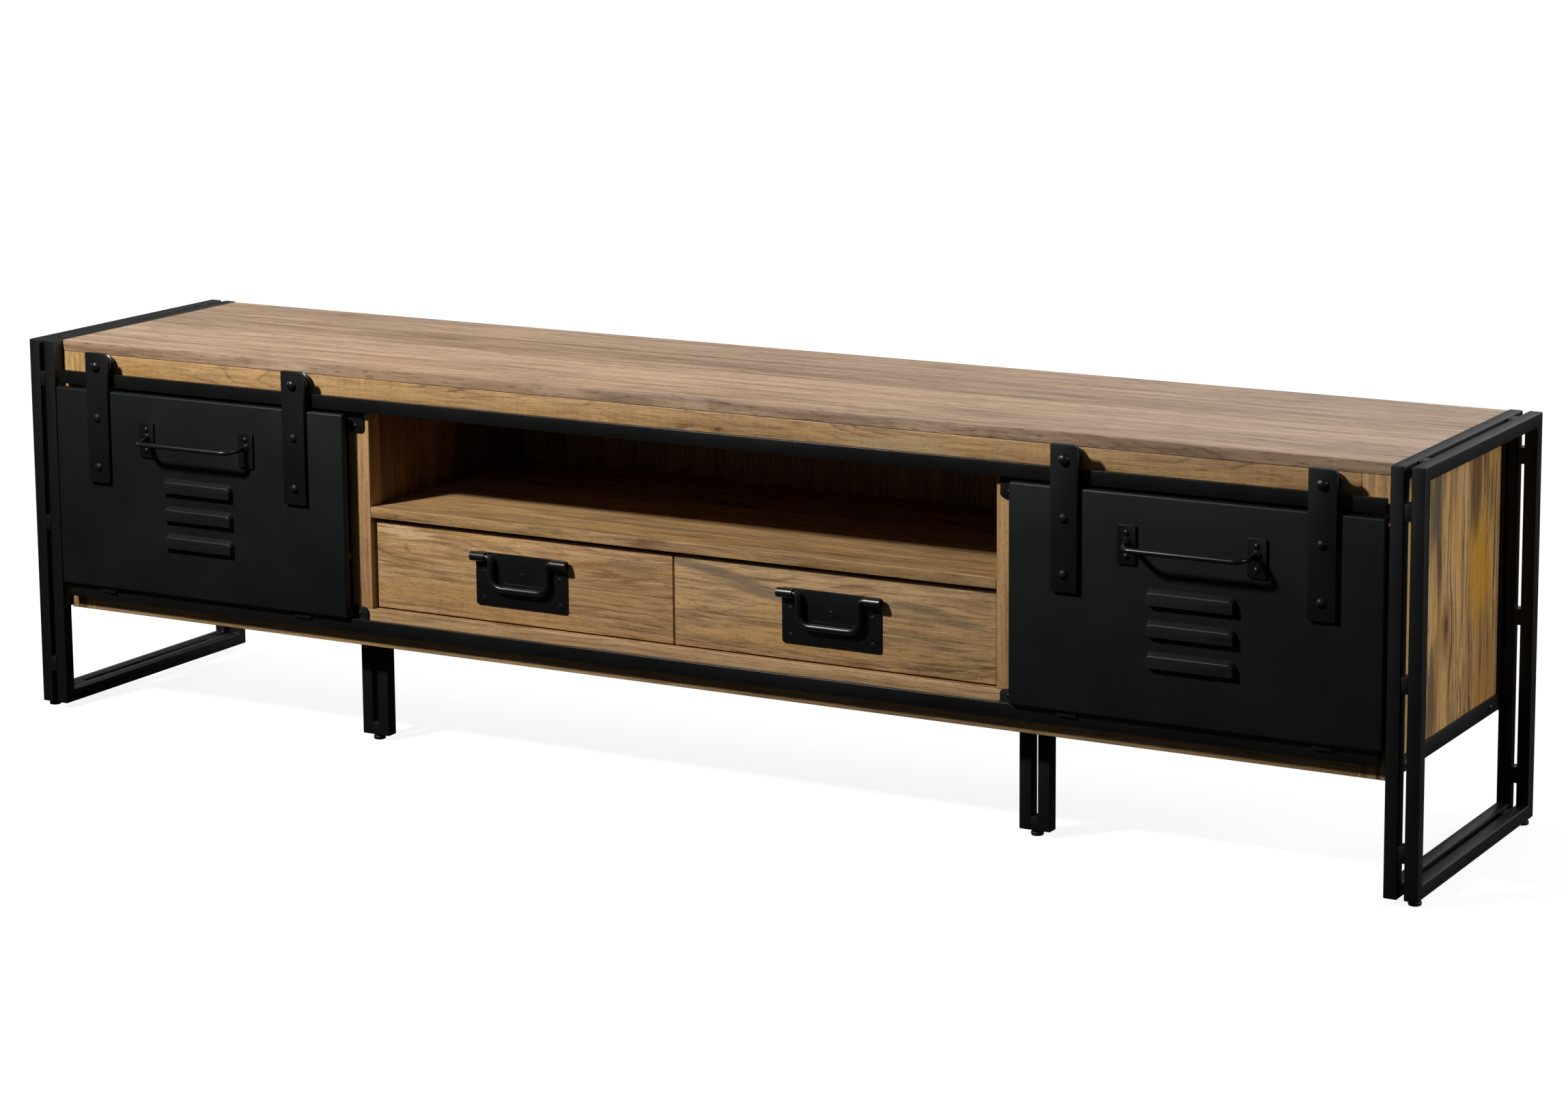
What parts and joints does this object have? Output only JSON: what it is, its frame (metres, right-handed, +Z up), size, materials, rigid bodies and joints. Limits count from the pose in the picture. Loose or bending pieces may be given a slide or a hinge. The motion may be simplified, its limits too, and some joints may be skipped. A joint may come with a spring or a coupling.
{
  "type": "sideboard",
  "caption": "Long low wooden sideboard between welded steel end frames, with hanging sliding locker doors, an open niche and drawers with drop-bail pulls.",
  "frame": {"origin": "centre of the bounding box at floor level, under the feet", "axes": "+X along the length to the viewer's right when facing the doors, +Y to the back, +Z up"},
  "size_m": [2, 0.44, 0.511],
  "materials": {
    "frame_steel": "fine satin black powder coat on square steel tube",
    "bar_steel": "black hammered lacquer on flat steel bar",
    "door_steel": "satin black powder coat on folded sheet steel",
    "fitting_steel": "smooth semi-gloss black lacquer",
    "wheel_steel": "dark turned steel, oiled",
    "mango_wood": "mango wood, clear matt lacquer, warm brown with grey and yellow streaks",
    "carcass_wood": "mango wood planks, thin matt lacquer",
    "drawer_box_wood": "plain mango wood, unlacquered",
    "foot_plastic": "moulded black plastic"
  },
  "bodies": {
    "cabinet": {"back_panel": "carcass_wood", "bottom_board": "carcass_wood", "bottom_front_rail": "mango_wood", "bottom_guide_rail": "bar_steel", "drawer_partition": "carcass_wood", "left_back_foot": "foot_plastic", "left_divider": "mango_wood", "left_front_foot": "foot_plastic", "left_guide_bracket": "frame_steel", "left_inner_hoop": "frame_steel", "left_middle_foot": "foot_plastic", "left_middle_leg": "frame_steel", "left_outer_hoop": "frame_steel", "left_side_panel": "mango_wood", "left_track_bracket": "frame_steel", "niche_shelf": "mango_wood", "right_back_foot": "foot_plastic", "right_divider": "mango_wood", "right_front_foot": "foot_plastic", "right_guide_bracket": "frame_steel", "right_inner_hoop": "frame_steel", "right_middle_foot": "foot_plastic", "right_middle_leg": "frame_steel", "right_outer_hoop": "frame_steel", "right_side_panel": "mango_wood", "right_track_bracket": "frame_steel", "top_apron": "mango_wood", "top_board": "mango_wood", "top_track": "bar_steel"},
    "left_door": {"left_door_handle": "door_steel", "left_door_panel": "door_steel", "left_inner_axle_bolt": "fitting_steel", "left_inner_strap": "door_steel", "left_outer_axle_bolt": "fitting_steel", "left_outer_strap": "door_steel"},
    "right_door": {"right_door_handle": "door_steel", "right_door_panel": "door_steel", "right_inner_axle_bolt": "fitting_steel", "right_inner_strap": "door_steel", "right_outer_axle_bolt": "fitting_steel", "right_outer_strap": "door_steel"},
    "left_drawer": {"left_drawer_back": "drawer_box_wood", "left_drawer_bottom": "drawer_box_wood", "left_drawer_front": "mango_wood", "left_drawer_inner_side": "drawer_box_wood", "left_drawer_outer_side": "drawer_box_wood", "left_pull_plate": "fitting_steel"},
    "right_drawer": {"right_drawer_back": "drawer_box_wood", "right_drawer_bottom": "drawer_box_wood", "right_drawer_front": "mango_wood", "right_drawer_inner_side": "drawer_box_wood", "right_drawer_outer_side": "drawer_box_wood", "right_pull_plate": "fitting_steel"},
    "left_drop_bail": {"left_bail": "fitting_steel"},
    "right_drop_bail": {"right_bail": "fitting_steel"},
    "left_inner_wheel_body": {"left_inner_wheel": "wheel_steel"},
    "left_outer_wheel_body": {"left_outer_wheel": "wheel_steel"},
    "right_inner_wheel_body": {"right_inner_wheel": "wheel_steel"},
    "right_outer_wheel_body": {"right_outer_wheel": "wheel_steel"}
  },
  "joints": [
    {"name": "left_door_slide", "type": "slide", "parent": "cabinet", "child": "left_door", "axis": [-1, 0, 0], "range_m": [-0.47, 0]},
    {"name": "left_inner_wheel_roll", "type": "hinge", "parent": "left_door", "child": "left_inner_wheel_body", "pos_m": [-0.55625, -0.172, 0.4833], "axis": [0, 1, 0], "range_deg": [-2, 2248.1]},
    {"name": "left_outer_wheel_roll", "type": "hinge", "parent": "left_door", "child": "left_outer_wheel_body", "pos_m": [-0.88025, -0.172, 0.4833], "axis": [0, 1, 0], "range_deg": [-2, 2248.1]},
    {"name": "right_door_slide", "type": "slide", "parent": "cabinet", "child": "right_door", "axis": [1, 0, 0], "range_m": [-0.47, 0]},
    {"name": "right_inner_wheel_roll", "type": "hinge", "parent": "right_door", "child": "right_inner_wheel_body", "pos_m": [0.55625, -0.172, 0.4833], "axis": [0, 1, 0], "range_deg": [-2248.1, 2]},
    {"name": "right_outer_wheel_roll", "type": "hinge", "parent": "right_door", "child": "right_outer_wheel_body", "pos_m": [0.88025, -0.172, 0.4833], "axis": [0, 1, 0], "range_deg": [-2248.1, 2]},
    {"name": "left_drawer_slide", "type": "slide", "parent": "cabinet", "child": "left_drawer", "axis": [0, -1, 0], "range_m": [0, 0.25]},
    {"name": "left_bail_hinge", "type": "hinge", "parent": "left_drawer", "child": "left_drop_bail", "pos_m": [-0.22635, -0.161, 0.2775], "axis": [-1, 0, 0], "range_deg": [0, 90]},
    {"name": "right_drawer_slide", "type": "slide", "parent": "cabinet", "child": "right_drawer", "axis": [0, -1, 0], "range_m": [0, 0.25]},
    {"name": "right_bail_hinge", "type": "hinge", "parent": "right_drawer", "child": "right_drop_bail", "pos_m": [0.22635, -0.161, 0.2775], "axis": [-1, 0, 0], "range_deg": [0, 90]}
  ],
  "couplings": [
    {"joint": "left_inner_wheel_roll", "follows": "left_door_slide", "rad_per_m": -83.333},
    {"joint": "left_outer_wheel_roll", "follows": "left_door_slide", "rad_per_m": -83.333},
    {"joint": "right_inner_wheel_roll", "follows": "right_door_slide", "rad_per_m": 83.333},
    {"joint": "right_outer_wheel_roll", "follows": "right_door_slide", "rad_per_m": 83.333}
  ]
}
